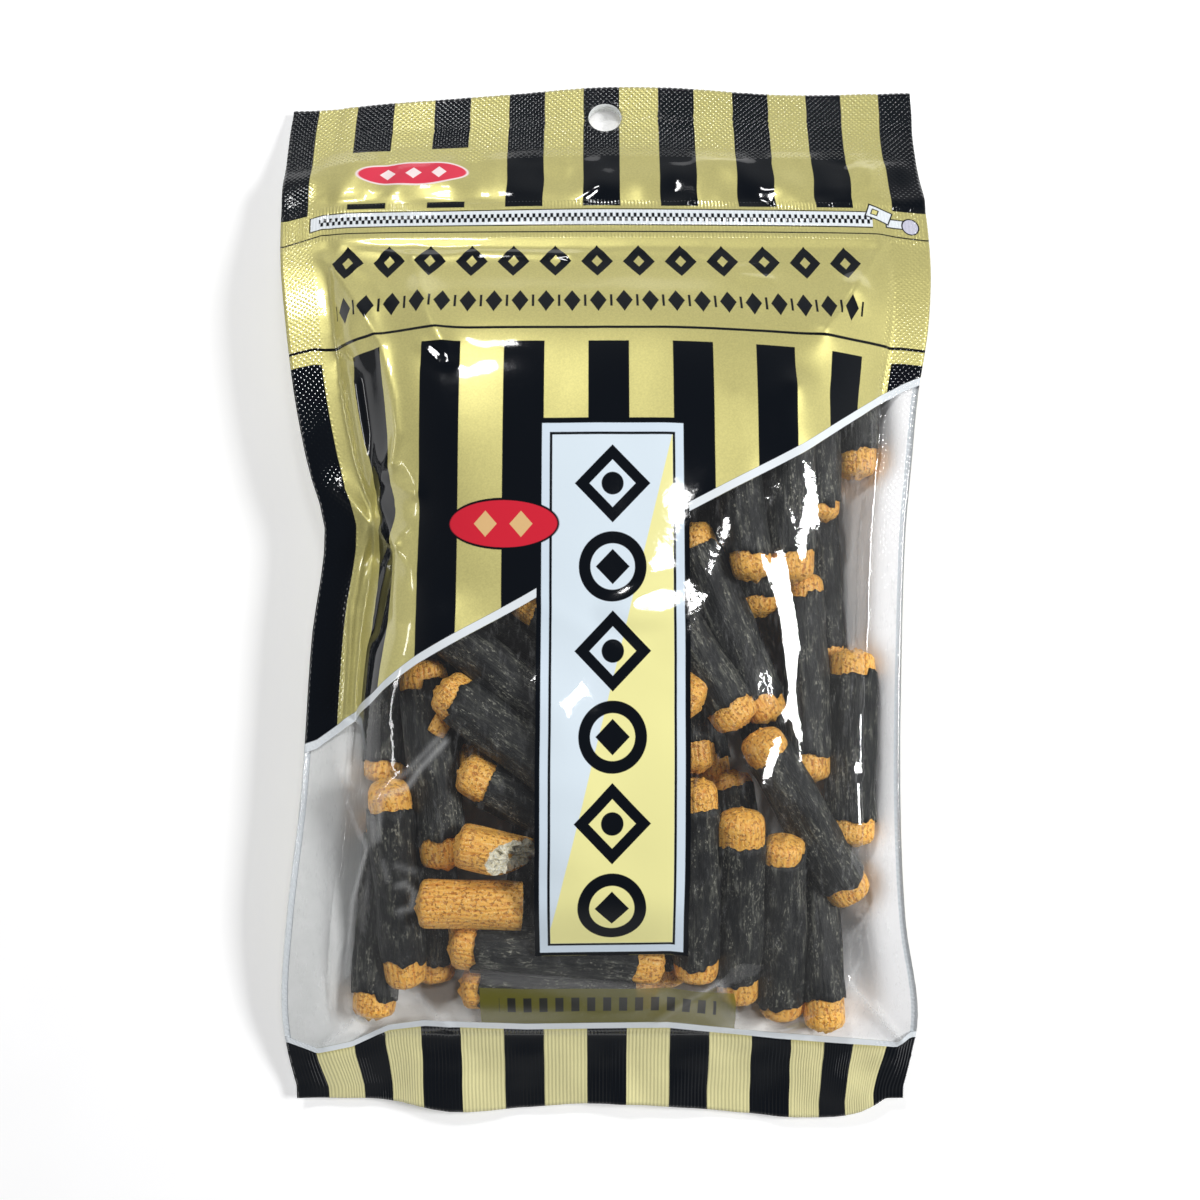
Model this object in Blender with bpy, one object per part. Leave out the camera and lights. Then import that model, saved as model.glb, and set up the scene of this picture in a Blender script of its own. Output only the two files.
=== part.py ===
"""Zip pouch of stick rice crackers, lying on its back.

A flat film pouch, sealed all round and filled, is one closed solid out to its film: a long header
with a hang hole that droops to the table, a puffed band and a press-to-close strip under it, thin
side and end seals, and a filled body whose front shows the folds of the slack film and the sticks
that press against it. The back is flat where the weight of the filling rests.

Metres, +Z up. The pouch lies along Y with its hang hole at +Y and its front up.
"""

import math

import bmesh
import bpy

MM = 0.001

# Plan of the pouch, in millimetres from its middle: how far the left and right edges lie from the
# centre line at each height, drawn in where the filling takes up the film's width.
SIDE_EDGES = (
    (-109.0, -60.0, 58.8),
    (-90.0, -63.4, 62.4),
    (-70.0, -62.1, 59.5),
    (-45.0, -59.6, 58.9),
    (-15.0, -58.3, 60.0),
    (7.0, -56.0, 61.1),
    (20.0, -59.6, 62.5),
    (34.0, -62.6, 64.1),
    (50.0, -65.0, 66.9),
    (70.0, -67.5, 68.4),
    (96.0, -68.6, 68.0),
    (109.0, -67.9, 68.7),
)
HEAD_EDGE = ((-68.0, 103.8), (-36.0, 105.7), (-3.0, 109.3), (40.0, 107.7), (68.7, 108.2))
FOOT_EDGE = (
    (-60.0, -106.0),
    (-42.0, -106.4),
    (-28.0, -108.6),
    (2.0, -106.9),
    (36.0, -109.5),
    (50.0, -108.9),
    (58.8, -104.5),
)

# How high the flat sheet of the seals lies along the pouch: held up at mid depth by the filling,
# drooping to the table at the header and at the foot.
SHEET_HEIGHT = (
    (-109.5, 2.6),
    (-100.0, 4.6),
    (-88.0, 8.4),
    (-70.0, 12.5),
    (-45.0, 14.0),
    (-15.0, 14.5),
    (20.0, 16.5),
    (48.0, 17.0),
    (60.0, 16.0),
    (66.0, 14.5),
    (78.0, 11.0),
    (92.0, 5.5),
    (104.0, 1.9),
    (109.5, 0.6),
)
FILM_PAIR = 1.0  # the two films and the slack between them, where they are sealed

# Filled body
LEFT_SEAL = 10.0
RIGHT_SEAL = 7.5
FOOT_SEAL = 16.5
HEADER_END = 92.0
STRIP_TOP = 78.0
STRIP_FOOT = 67.5
BODY_HEAD = 66.5
BODY_FOOT = -109.5 + FOOT_SEAL
FRONT_RISE = (
    (-93.0, 0.0),
    (-90.0, 2.2),
    (-85.0, 5.2),
    (-77.0, 9.5),
    (-64.0, 14.6),
    (-50.0, 17.4),
    (-35.0, 18.0),
    (0.0, 16.8),
    (30.0, 14.8),
    (42.0, 12.8),
    (52.0, 8.6),
    (60.0, 3.6),
    (66.5, 1.0),
)
BACK_DROP = (
    (-93.0, 0.0),
    (-88.0, 5.0),
    (-80.0, 11.0),
    (-60.0, 16.0),
    (0.0, 19.0),
    (40.0, 17.5),
    (54.0, 9.5),
    (66.5, 0.8),
)

# How square the filled body is across, front and back: roundness and steepness of its left half,
# which stands up like a wall from the seal, and of its right half, which slopes.
FRONT_SHAPE = ((5.0, 0.60), (2.8, 0.72))
BACK_SHAPE = ((3.4, 0.62), (3.4, 0.62))

# Hang hole
HOLE_RADIUS = 3.65
HOLE_AT = (0.6, 101.3)

# Sticks that press on the film: middle, direction in degrees from +X, and how far each stands out.
STICK_LENGTH = 41.0
STICK_WIDTH = 9.4
STICKS = (
    (-21.5, -22.0, -38.0, 1.6),
    (-20.0, -36.0, -26.0, 1.2),
    (-23.5, -43.5, -10.0, 1.6),
    (-24.5, -54.5, -4.0, 1.8),
    (-40.5, -56.5, 88.0, 1.8),
    (-6.0, -66.5, 0.0, 1.6),
    (-39.5, -29.0, 84.0, 1.2),
    (28.5, -58.0, 86.0, 1.8),
    (41.5, -64.0, 86.0, 1.6),
    (33.5, -8.0, 120.0, 1.4),
    (42.5, 14.0, 112.0, 1.8),
    (50.0, -20.0, 96.0, 1.8),
    (45.0, -48.0, 118.0, 1.4),
    (22.0, -2.0, 70.0, 1.0),
)

# Folds of the slack film: route, half width and height, which is negative for a valley.
FOLDS = (
    (((-47.0, 46.0), (-45.0, 33.0), (-44.0, 20.0)), 3.6, -2.4),
    (((-51.0, 47.0), (-49.5, 30.0), (-48.5, 14.0)), 2.6, 1.4),
    (((-43.5, 14.0), (-42.5, 2.0), (-44.0, -12.0)), 3.4, -2.4),
    (((-54.5, 10.0), (-43.0, 5.0), (-37.5, -1.0)), 2.6, 2.0),
    (((-43.5, -24.0), (-47.5, -31.0), (-48.0, -42.0)), 2.4, 1.6),
    (((-33.0, -20.5), (-43.5, -31.0)), 2.4, 1.4),
    (((-58.0, 62.0), (-50.0, 52.0), (-45.0, 38.0)), 2.6, 1.8),
    (((-40.0, 60.0), (-37.5, 54.0), (-33.0, 44.0)), 2.6, 1.4),
    (((55.0, 60.0), (48.0, 50.0), (44.0, 44.0)), 2.6, 1.6),
    (((51.5, -77.0), (56.0, -84.0)), 2.4, 1.8),
    (((-51.0, -79.0), (-56.0, -85.0)), 2.4, 1.8),
    (((23.5, -76.0), (12.0, -81.0), (6.0, -83.0)), 2.8, 1.5),
)

# Mesh: how many steps the film takes across each seal and the body, and along each stretch.
SEAL_COLUMNS = 3
BODY_COLUMNS = 32
FOOT_ROWS = 4
BODY_ROWS = 40
HEAD_ROWS = 16


def clear_scene():
    for obj in list(bpy.data.objects):
        bpy.data.objects.remove(obj, do_unlink=True)


def new_collection(name):
    collection = bpy.data.collections.new(name)
    bpy.context.scene.collection.children.link(collection)
    return collection


def film_material():
    material = bpy.data.materials.new("printed_film")
    material.use_nodes = True
    shader = material.node_tree.nodes["Principled BSDF"]
    shader.inputs["Base Color"].default_value = (0.62, 0.58, 0.27, 1.0)
    shader.inputs["Roughness"].default_value = 0.28
    shader.inputs["Metallic"].default_value = 0.0
    return material


def slope_at(stations, index, column):
    before = stations[max(0, index - 1)]
    after = stations[min(len(stations) - 1, index + 1)]
    return (after[column] - before[column]) / (after[0] - before[0])


def along(stations, at, column=1):
    """The value of a row of stations at a place, on one smooth curve through the stations."""
    if at <= stations[0][0]:
        return stations[0][column]
    for index in range(1, len(stations)):
        low = stations[index - 1]
        high = stations[index]
        if at > high[0]:
            continue
        run = high[0] - low[0]
        share = (at - low[0]) / run
        rise = high[column] - low[column]
        start = slope_at(stations, index - 1, column) * run
        end = slope_at(stations, index, column) * run
        bend = (start - rise) * (1.0 - share) - (end - rise) * share
        return low[column] + rise * share + share * (1.0 - share) * bend
    return stations[-1][column]


def closer_at_ends(share):
    """A share from 0 to 1 with its steps drawn together at both ends, where the film is steepest."""
    return 0.45 * share + 0.55 * 0.5 * (1.0 - math.cos(math.pi * share))


def column_place(column, left, right):
    """Where a column of the film lies between the pouch's edges: one runs along each seal's inner edge."""
    inner_left = left + LEFT_SEAL
    inner_right = right - RIGHT_SEAL
    if column <= SEAL_COLUMNS:
        return left + LEFT_SEAL * column / SEAL_COLUMNS
    if column >= SEAL_COLUMNS + BODY_COLUMNS:
        return inner_right + RIGHT_SEAL * (column - SEAL_COLUMNS - BODY_COLUMNS) / SEAL_COLUMNS
    share = closer_at_ends((column - SEAL_COLUMNS) / BODY_COLUMNS)
    return inner_left + (inner_right - inner_left) * share


def row_place(row, foot, head):
    """Where a row lies between the foot and the head edge: one runs along each end of the body."""
    if row <= FOOT_ROWS:
        return foot + (BODY_FOOT - foot) * row / FOOT_ROWS
    if row >= FOOT_ROWS + BODY_ROWS:
        return BODY_HEAD + (head - BODY_HEAD) * (row - FOOT_ROWS - BODY_ROWS) / HEAD_ROWS
    share = closer_at_ends((row - FOOT_ROWS) / BODY_ROWS)
    return BODY_FOOT + (BODY_HEAD - BODY_FOOT) * share


def segment_reach(x, y, start, end):
    """Distance from a point to a straight piece of a fold's route."""
    run_x = end[0] - start[0]
    run_y = end[1] - start[1]
    share = ((x - start[0]) * run_x + (y - start[1]) * run_y) / (run_x * run_x + run_y * run_y)
    share = min(1.0, max(0.0, share))
    return math.hypot(x - start[0] - share * run_x, y - start[1] - share * run_y)


def fold_height(x, y):
    total = 0.0
    for route, half_width, height in FOLDS:
        reach = min(segment_reach(x, y, a, b) for a, b in zip(route, route[1:]))
        total += height * math.exp(-((reach / half_width) ** 2))
    return total


def stick_height(x, y):
    """The film stands out over the stick that presses most at this place."""
    highest = 0.0
    for middle_x, middle_y, degrees, stands_out in STICKS:
        turn = math.radians(degrees)
        lengthwise = (x - middle_x) * math.cos(turn) + (y - middle_y) * math.sin(turn)
        across = (y - middle_y) * math.cos(turn) - (x - middle_x) * math.sin(turn)
        over_end = max(0.0, abs(lengthwise) - 0.42 * STICK_LENGTH)
        reach = math.hypot(across, over_end) / (0.62 * STICK_WIDTH)
        if reach < 1.0:
            highest = max(highest, stands_out * math.cos(0.5 * math.pi * reach))
    return highest


def body_share(x, left, right, shape):
    """1 over the middle of the filled body, falling to 0 at the side seals."""
    inner_left = left + LEFT_SEAL
    inner_right = right - RIGHT_SEAL
    half = 0.5 * (inner_right - inner_left)
    offset = x - 0.5 * (inner_left + inner_right)
    across = abs(offset) / half
    if across >= 1.0:
        return 0.0
    roundness, steepness = shape[0] if offset < 0.0 else shape[1]
    return (1.0 - across**roundness) ** steepness


def header_height(x, y):
    """The puffed band between the header seal and the strip, and the strip's two ribs."""
    height = 0.0
    if STRIP_TOP < y < HEADER_END:
        swell = math.sin(math.pi * (y - STRIP_TOP) / (HEADER_END - STRIP_TOP))
        height += swell * (1.7 + 0.5 * math.sin(x * 0.33 + 1.0) + 0.35 * math.sin(x * 0.71))
    for rib in (STRIP_TOP - 2.6, STRIP_FOOT + 2.2):
        height += 0.8 * math.exp(-(((y - rib) / 1.3) ** 2))
    return height


def foot_waves(x, y):
    """The foot seal and the header's free edge wave a little, as heat-sealed film does."""
    foot = max(0.0, min(1.0, (-96.0 - y) / 10.0))
    head = max(0.0, min(1.0, (y - 98.0) / 10.0))
    return 0.9 * foot * math.sin(x * 0.16 + 0.6) + 0.5 * head * (1.0 + math.sin(x * 0.12))


def front_height(x, y, left, right):
    sheet = along(SHEET_HEIGHT, y) + foot_waves(x, y)
    share = body_share(x, left, right, FRONT_SHAPE)
    rise = along(FRONT_RISE, y)
    height = sheet + 0.5 * FILM_PAIR + rise * share
    if BODY_FOOT < y < BODY_HEAD and share > 0.0:
        firm = min(1.0, rise / 8.0) * min(1.0, share / 0.3)
        height += firm * (stick_height(x, y) + fold_height(x, y))
    inside = min(x - left, right - x) - 0.6 * LEFT_SEAL
    if inside > 0.0:
        height += header_height(x, y) * min(1.0, inside / 8.0)
    return height


def back_height(x, y, left, right):
    sheet = along(SHEET_HEIGHT, y) + foot_waves(x, y)
    drop = along(BACK_DROP, y) * body_share(x, left, right, BACK_SHAPE)
    return max(0.0, sheet - 0.5 * FILM_PAIR - drop)


def pouch_point(column, row, is_front):
    """The film's point in a column and a row, in metres. The edges bend, so x and y settle together."""
    x = 0.0
    y = 0.0
    for _ in range(4):
        left = along(SIDE_EDGES, y)
        right = along(SIDE_EDGES, y, 2)
        x = column_place(column, left, right)
        y = row_place(row, along(FOOT_EDGE, x), along(HEAD_EDGE, x))
    height = front_height if is_front else back_height
    return (x * MM, y * MM, height(x, y, left, right) * MM)


def build_pouch(collection):
    columns = BODY_COLUMNS + 2 * SEAL_COLUMNS
    rows = FOOT_ROWS + BODY_ROWS + HEAD_ROWS
    shape = bmesh.new()
    bmesh.ops.create_grid(shape, x_segments=columns, y_segments=rows, size=0.5)
    front = bmesh.ops.extrude_face_region(shape, geom=shape.faces[:], use_keep_orig=True)["geom"]
    front = [item for item in front if isinstance(item, bmesh.types.BMVert)]
    bmesh.ops.translate(shape, verts=front, vec=(0.0, 0.0, 1.0))
    for vert in shape.verts:
        column = round((vert.co.x + 0.5) * columns)
        row = round((vert.co.y + 0.5) * rows)
        vert.co = pouch_point(column, row, vert.co.z > 0.5)
    bmesh.ops.recalc_face_normals(shape, faces=shape.faces)
    flat = [face for face in shape.faces if max(vert.co.z for vert in face.verts) < 1e-7]
    flat_edges = {edge for face in flat for edge in face.edges if all(f in flat for f in edge.link_faces)}
    flat_verts = {vert for face in flat for vert in face.verts if all(f in flat for f in vert.link_faces)}
    bmesh.ops.dissolve_limit(shape, angle_limit=0.001, verts=list(flat_verts), edges=list(flat_edges))
    mesh = bpy.data.meshes.new("pouch")
    shape.to_mesh(mesh)
    shape.free()
    mesh.shade_smooth()
    pouch = bpy.data.objects.new("pouch", mesh)
    mesh.materials.append(film_material())
    collection.objects.link(pouch)
    return pouch


def cut_hang_hole(pouch, cutters):
    punch_height = 20.0 * MM
    bpy.ops.mesh.primitive_cylinder_add(
        vertices=28,
        radius=HOLE_RADIUS * MM,
        depth=punch_height,
        location=(HOLE_AT[0] * MM, HOLE_AT[1] * MM, 0.0),
    )
    punch = bpy.context.object
    punch.name = "hang_hole_punch"
    for owner in list(punch.users_collection):
        owner.objects.unlink(punch)
    cutters.objects.link(punch)
    punch.hide_render = True
    punch.display_type = "WIRE"
    cut = pouch.modifiers.new("hang_hole", "BOOLEAN")
    cut.operation = "DIFFERENCE"
    cut.solver = "EXACT"
    cut.object = punch


clear_scene()
parts = new_collection("cracker_pouch")
cutters = new_collection("cutters")
pouch = build_pouch(parts)
cut_hang_hole(pouch, cutters)
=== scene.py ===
"""Sealed pouch of rice sticks wrapped in seaweed, lying on its back on a pale table."""

import math
import random

import bmesh
import bpy
import numpy as np
from mathutils import Matrix, Vector
from mathutils import noise as turbulence
from mathutils.bvhtree import BVHTree


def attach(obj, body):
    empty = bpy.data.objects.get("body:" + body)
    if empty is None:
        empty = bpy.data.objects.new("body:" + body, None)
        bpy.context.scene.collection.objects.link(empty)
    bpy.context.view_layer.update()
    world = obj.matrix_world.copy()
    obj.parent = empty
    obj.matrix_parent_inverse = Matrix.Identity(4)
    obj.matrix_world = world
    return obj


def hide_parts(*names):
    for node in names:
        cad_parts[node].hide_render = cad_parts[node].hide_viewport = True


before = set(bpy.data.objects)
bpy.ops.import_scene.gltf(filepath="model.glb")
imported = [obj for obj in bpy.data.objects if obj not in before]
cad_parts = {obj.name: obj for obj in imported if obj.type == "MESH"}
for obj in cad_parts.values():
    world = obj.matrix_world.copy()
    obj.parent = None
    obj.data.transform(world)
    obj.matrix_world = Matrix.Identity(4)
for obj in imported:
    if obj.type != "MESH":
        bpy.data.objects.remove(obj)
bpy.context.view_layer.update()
MM = 0.001

# ---------------------------------------------------------------------------------------------
# Table, lamps and camera. The table is a pale matt board. Two soft boxes and a wide dim sky light
# the pouch, and the camera looks down on it, leaning a little towards its foot.


class Wire:
    """An output of a material's node, on which Python's arithmetic adds the nodes that work it out."""

    def __init__(self, paint, socket):
        self.paint = paint
        self.socket = socket

    def math(self, operation, *others, clamp=False):
        values = dict(enumerate((self, *others)))
        return self.paint.node("Math", {"operation": operation, "use_clamp": clamp}, values)

    def __add__(self, other):
        return self.math("ADD", other)

    def __radd__(self, other):
        return self.math("ADD", other)

    def __sub__(self, other):
        return self.math("SUBTRACT", other)

    def __rsub__(self, other):
        return self.math("MULTIPLY_ADD", -1.0, other)

    def __mul__(self, other):
        return self.math("MULTIPLY", other)

    def __rmul__(self, other):
        return self.math("MULTIPLY", other)

    def __truediv__(self, other):
        return self.math("DIVIDE", other)

    def __neg__(self):
        return self.math("MULTIPLY", -1.0)

    def __abs__(self):
        return self.math("ABSOLUTE")

    def rising(self, low, high):
        """0 below low, 1 above high, and a smooth step between them."""
        values = {"Value": self, "From Min": low, "From Max": high}
        return self.paint.node("MapRange", {"interpolation_type": "SMOOTHSTEP"}, values)

    def falling(self, low, high):
        """1 below low, 0 above high."""
        values = {"Value": self, "From Min": low, "From Max": high, "To Min": 1.0, "To Max": 0.0}
        return self.paint.node("MapRange", {"interpolation_type": "SMOOTHSTEP"}, values)


class Paint:
    """A material made of nodes. node() adds one: its type, its settings, then its inputs' values or wires."""

    def __init__(self, name, kind="materials"):
        self.material = getattr(bpy.data, kind).new(name)
        self.material.use_nodes = True
        self.tree = self.material.node_tree
        self.tree.nodes.clear()

    def node(self, kind, settings=None, values=None, output=0):
        made = self.tree.nodes.new("ShaderNode" + kind)
        for name, value in (settings or {}).items():
            setattr(made, name, value)
        for name, value in (values or {}).items():
            if isinstance(value, Wire):
                self.tree.links.new(value.socket, made.inputs[name])
            else:
                made.inputs[name].default_value = value
        return Wire(self, made.outputs[output]) if made.outputs else None

    def mix(self, share, first, second):
        """A colour from first, where share is 0, to second, where it is 1."""
        values = {"Factor": share, 6: first, 7: second}
        return self.node("Mix", {"data_type": "RGBA"}, values, 2)

    def noise(self, place, scale, detail=2.0, roughness=0.5):
        values = {"Vector": place, "Scale": scale, "Detail": detail, "Roughness": roughness}
        return self.node("TexNoise", None, values)

    def stretched(self, place, x, y, z):
        """The place with its three coordinates multiplied by x, y and z."""
        return self.node("VectorMath", {"operation": "MULTIPLY"}, {0: place, 1: (x, y, z)})

    def bump(self, height, distance, strength=1.0):
        values = {"Height": height, "Distance": distance, "Strength": strength}
        return self.node("Bump", None, values)

    def finish(self, shader):
        self.node("OutputMaterial", None, {"Surface": shader})
        return self.material


def colour(red, green, blue):
    """A screen colour of 0 to 255 as the light values that a shader takes."""
    light = [(c / 255 / 12.92) if c < 11 else ((c / 255 + 0.055) / 1.055) ** 2.4 for c in (red, green, blue)]
    return (*light, 1.0)


def object_of(name, shape, materials=()):
    """A smooth-shaded object from a bmesh, which is freed."""
    mesh = bpy.data.meshes.new(name)
    shape.to_mesh(mesh)
    shape.free()
    mesh.shade_smooth()
    for material in materials:
        mesh.materials.append(material)
    made = bpy.data.objects.new(name, mesh)
    bpy.context.scene.collection.objects.link(made)
    return made


def soft_box(name, place, aim, width, height, power):
    lamp = bpy.data.lights.new(name, "AREA")
    lamp.shape = "RECTANGLE"
    lamp.size = width
    lamp.size_y = height
    lamp.energy = power
    made = bpy.data.objects.new(name, lamp)
    made.location = place
    made.rotation_euler = (Vector(aim) - Vector(place)).to_track_quat("-Z", "Y").to_euler()
    bpy.context.scene.collection.objects.link(made)


board = bmesh.new()
bmesh.ops.create_grid(board, x_segments=2, y_segments=2, size=3.0)
paint = Paint("table")
grain = paint.noise(paint.node("TexCoord", None, None, 3), 40.0)
shade = paint.mix(grain, (0.86, 0.86, 0.86, 1.0), (0.90, 0.90, 0.90, 1.0))
glow = {"Base Color": shade, "Roughness": 1.0, "Emission Color": shade, "Emission Strength": 0.30}
table = object_of("table", board, [paint.finish(paint.node("BsdfPrincipled", None, glow))])
table.location.z = -0.0002

# The sky is dim overhead and bright all round, so flat film mirrors little and its slopes mirror more.
sky = Paint("studio", "worlds")
heading = sky.node("TexCoord", None, None, 0)
upward = Wire(sky, sky.node("SeparateXYZ", None, {"Vector": heading}).socket.node.outputs[2])
brightness = sky.mix(upward.rising(0.15, 0.95), (0.28, 0.28, 0.28, 1.0), (0.06, 0.06, 0.07, 1.0))
sky.node("OutputWorld", None, {"Surface": sky.node("Background", None, {"Color": brightness})})
bpy.context.scene.world = sky.material
soft_box("right_box", (0.50, 0.00, 0.52), (0.0, 0.0, 0.02), 0.20, 0.16, 3.6)
soft_box("left_box", (-0.72, 0.02, 0.33), (0.0, 0.0, 0.02), 0.32, 0.04, 0.5)
soft_box("head_box", (-0.20, 0.44, 0.65), (0.0, 0.0, 0.02), 0.18, 0.06, 1.8)
soft_box("low_head_box", (-0.15, 0.60, 0.53), (0.0, 0.0, 0.02), 0.12, 0.05, 0.5)
soft_box("top_box", (0.12, 0.12, 0.68), (0.0, 0.0, 0.02), 0.08, 0.07, 0.45)
bpy.context.scene.view_settings.view_transform = "Standard"

lens = bpy.data.cameras.new("camera")
lens.sensor_width = 36.0
lens.lens = 39.54
lens.clip_start = 0.01
camera = bpy.data.objects.new("camera", lens)
camera.location = (-0.5 * MM, -41.6 * MM, 277.6 * MM)
camera.rotation_euler = (math.radians(7.5), 0.0, 0.0)
bpy.context.scene.collection.objects.link(camera)
bpy.context.scene.camera = camera

# ---------------------------------------------------------------------------------------------
# Rice sticks: puffed rice dough, cut to short ribbed rods and glazed with soy. They lie loose in
# the pouch, the upper ones against its front film, and a few are broken.

STICK_LENGTH = 41.0
STICK_RADIUS = 4.3

# The sticks that show, in millimetres: the middle in plan, the direction of the length in degrees
# from +X, and how far the top lies under the film.
SHOWN_STICKS = {
    "A": (-14.8, -37.0, -38, 0.0),
    "A_upper": (-17.8, -24.3, -38, 1.0),
    "A_inner": (-9.8, -16.5, -26, 3.0),
    "B": (-9.4, -50.3, -29, 0.5),
    "H": (-33.0, -39.6, 97, 6.5),
    "E": (-41.8, -24.3, 86, 0.5),
    "F": (-40.6, -62.6, 89, 0.0),
    "G": (-44.4, -70.7, 83, 8.0),
    "K": (-34.3, -63.5, 89, 9.0),
    "P_upper": (-8.7, -76.2, -5, 1.5),
    "P": (-8.6, -83.5, -1, 0.5),
    "Q": (18.7, -62.1, 90, 0.0),
    "R": (27.7, -66.4, 96, 0.0),
    "S": (37.2, -71.6, 97, 0.6),
    "T": (46.4, -73.0, 98, 4.0),
    "U": (38.4, -49.7, 120, 0.6),
    "V": (15.4, -17.0, 120, 0.0),
    "W": (25.4, -12.0, 112, 1.5),
    "X": (26.3, 14.9, 97, 0.0),
    "X_lower": (29.8, 9.3, 93, 6.0),
    "Y_left": (37.2, 16.4, 91, 1.5),
    "Y": (43.1, 27.9, 91, 0.0),
    "Y_right": (50.9, 38.4, 90, 0.5),
    "Z": (44.6, -1.0, 93, 0.0),
    "Z_right": (50.7, -37.1, 89, 0.0),
    "Z_left": (40.2, -22.5, 93, 2.0),
    "AB": (16.1, -21.4, 97, 5.0),
    "AC": (26.8, -61.5, 94, 12.0),
    "AD": (2.3, -17.1, -27, 2.0),
}

# Broken sticks: the whole end, the direction from it, the place where it is snapped off measured from
# its middle, the break's slant, its roughness, and how far it is rolled round.
BROKEN_LENGTH = 30.0
BROKEN_STICKS = {
    "C": ((-27.6, -54.8, 23.5), -11, -4.6, 0.85, 2.0, 0.6),
    "D": ((-35.6, -66.3, 19.0), -1, 4.8, 0.03, 0.8, 2.6),
}

# Chips: the middle, the direction, the length and the half width.
CHIPS = (
    ((-27.9, -73.6, 15.6), 95, 8.5, 1.9),
    ((-31.0, -31.6, 22.6), 60, 6.0, 2.1),
)

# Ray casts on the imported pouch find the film's height anywhere in plan, and nothing outside it.
pouch_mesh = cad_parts["pouch"].data
pouch_points = [vertex.co.copy() for vertex in pouch_mesh.vertices]
pouch_faces = [tuple(face.vertices) for face in pouch_mesh.polygons]
pouch_tree = BVHTree.FromPolygons(pouch_points, pouch_faces)


def film_height(x, y, from_above):
    """The height of the pouch's front or back at a place in plan, all in millimetres, or None off it."""
    start = Vector((x * MM, y * MM, 0.1 if from_above else -0.1))
    hit = pouch_tree.ray_cast(start, Vector((0.0, 0.0, -1.0 if from_above else 1.0)))[0]
    return None if hit is None else hit.z / MM


def stick_pose(x, y, degrees, under):
    """Where a stick's two ends lie, so that it follows the film's slope at this depth under it."""
    turn = math.radians(degrees)
    ends = []
    for way in (-1.0, 1.0):
        reach = way * (0.5 * STICK_LENGTH - STICK_RADIUS)
        end_x = x + reach * math.cos(turn)
        end_y = y + reach * math.sin(turn)
        top = min(
            film_height(end_x + 0.6 * side * math.sin(turn), end_y - 0.6 * side * math.cos(turn), True) or 8.0
            for side in (-STICK_RADIUS, 0.0, STICK_RADIUS)
        )
        floor = film_height(end_x, end_y, False) or 3.0
        height = max(floor + STICK_RADIUS + 1.0, top - STICK_RADIUS - 1.6 - under)
        ends.append(np.array((end_x, end_y, height)))
    return ends


def nearest_points(first, second):
    """The shares along two segments at which they pass closest to each other."""
    a, b = first
    c, d = second
    u = b - a
    v = d - c
    w = a - c
    uu, uv, vv = u @ u, u @ v, v @ v
    spread = uu * vv - uv * uv
    s = 0.5 if spread < 1e-9 else min(1.0, max(0.0, (uv * (v @ w) - vv * (u @ w)) / spread))
    t = min(1.0, max(0.0, (uv * s + v @ w) / vv))
    s = min(1.0, max(0.0, (uv * t - u @ w) / uu))
    return s, t


def settle(sticks, rounds, radius, held):
    """Pushes sticks apart, mostly up and down, between the films. The first ones are held in plan."""
    places = [[end[:2].copy() for end in stick] for stick in sticks[:held]]
    for _ in range(rounds):
        for i, first in enumerate(sticks):
            for second in sticks[i + 1 :]:
                if np.abs(first[0] + first[1] - second[0] - second[1]).max() > 84.0:
                    continue
                s, t = nearest_points(first, second)
                gap = first[0] * (1 - s) + first[1] * s - second[0] * (1 - t) - second[1] * t
                reach = float(np.linalg.norm(gap))
                if reach >= 2.0 * radius:
                    continue
                push = gap / max(reach, 0.01) * (2.0 * radius - reach) * 0.5
                push[:2] *= 0.35
                for stick, share, way in ((first, s, 1.0), (second, t, -1.0)):
                    stick[0] += way * push * (1 - share) * 1.3
                    stick[1] += way * push * share * 1.3
        for stick, ends in zip(sticks, places):
            for end, place in zip(stick, ends):
                end[:2] += 0.14 * (place - end[:2])
        for stick in sticks:
            for end in stick:
                top = film_height(end[0], end[1], True) or 8.0
                floor = film_height(end[0], end[1], False) or 2.0
                short = 2.0 * radius + 1.4 - (top - floor)
                if short > 0.0:
                    end[0] -= math.copysign(min(1.0, 0.35 * short), end[0])
                    end[1] += min(0.6, 0.2 * short) if end[1] < -78.0 else 0.0
                low = floor + radius + 0.7
                end[2] = max(low, min(top - radius - 1.3, end[2]))


random.seed(11)
shown = {name: stick_pose(*row) for name, row in SHOWN_STICKS.items()}
hidden = []
for row, y in enumerate((-66.0, -24.0, 18.0)):
    for column in range(9):
        x = -35.0 + 10.4 * column + random.uniform(-1.5, 1.5) + 2.0 * row
        if x > 34.0 or (row == 0 and not -20.0 < x < 22.0) or (row == 2 and x < 8.0):
            continue
        degrees = 90.0 + random.uniform(-22.0, 22.0)
        hidden.append(stick_pose(x, y + random.uniform(-4.0, 4.0), degrees, 11.0))
broken = []
for (x, y, z), degrees, _, _, _, _ in BROKEN_STICKS.values():
    way = np.array((math.cos(math.radians(degrees)), math.sin(math.radians(degrees)), 0.0))
    start = np.array((x, y, z)) + STICK_RADIUS * way
    broken.append([start, start + (BROKEN_LENGTH - 2.0 * STICK_RADIUS) * way])
sticks = list(shown.values()) + broken + hidden
settle(sticks, 100, STICK_RADIUS + 0.4, len(shown) + len(broken))


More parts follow.
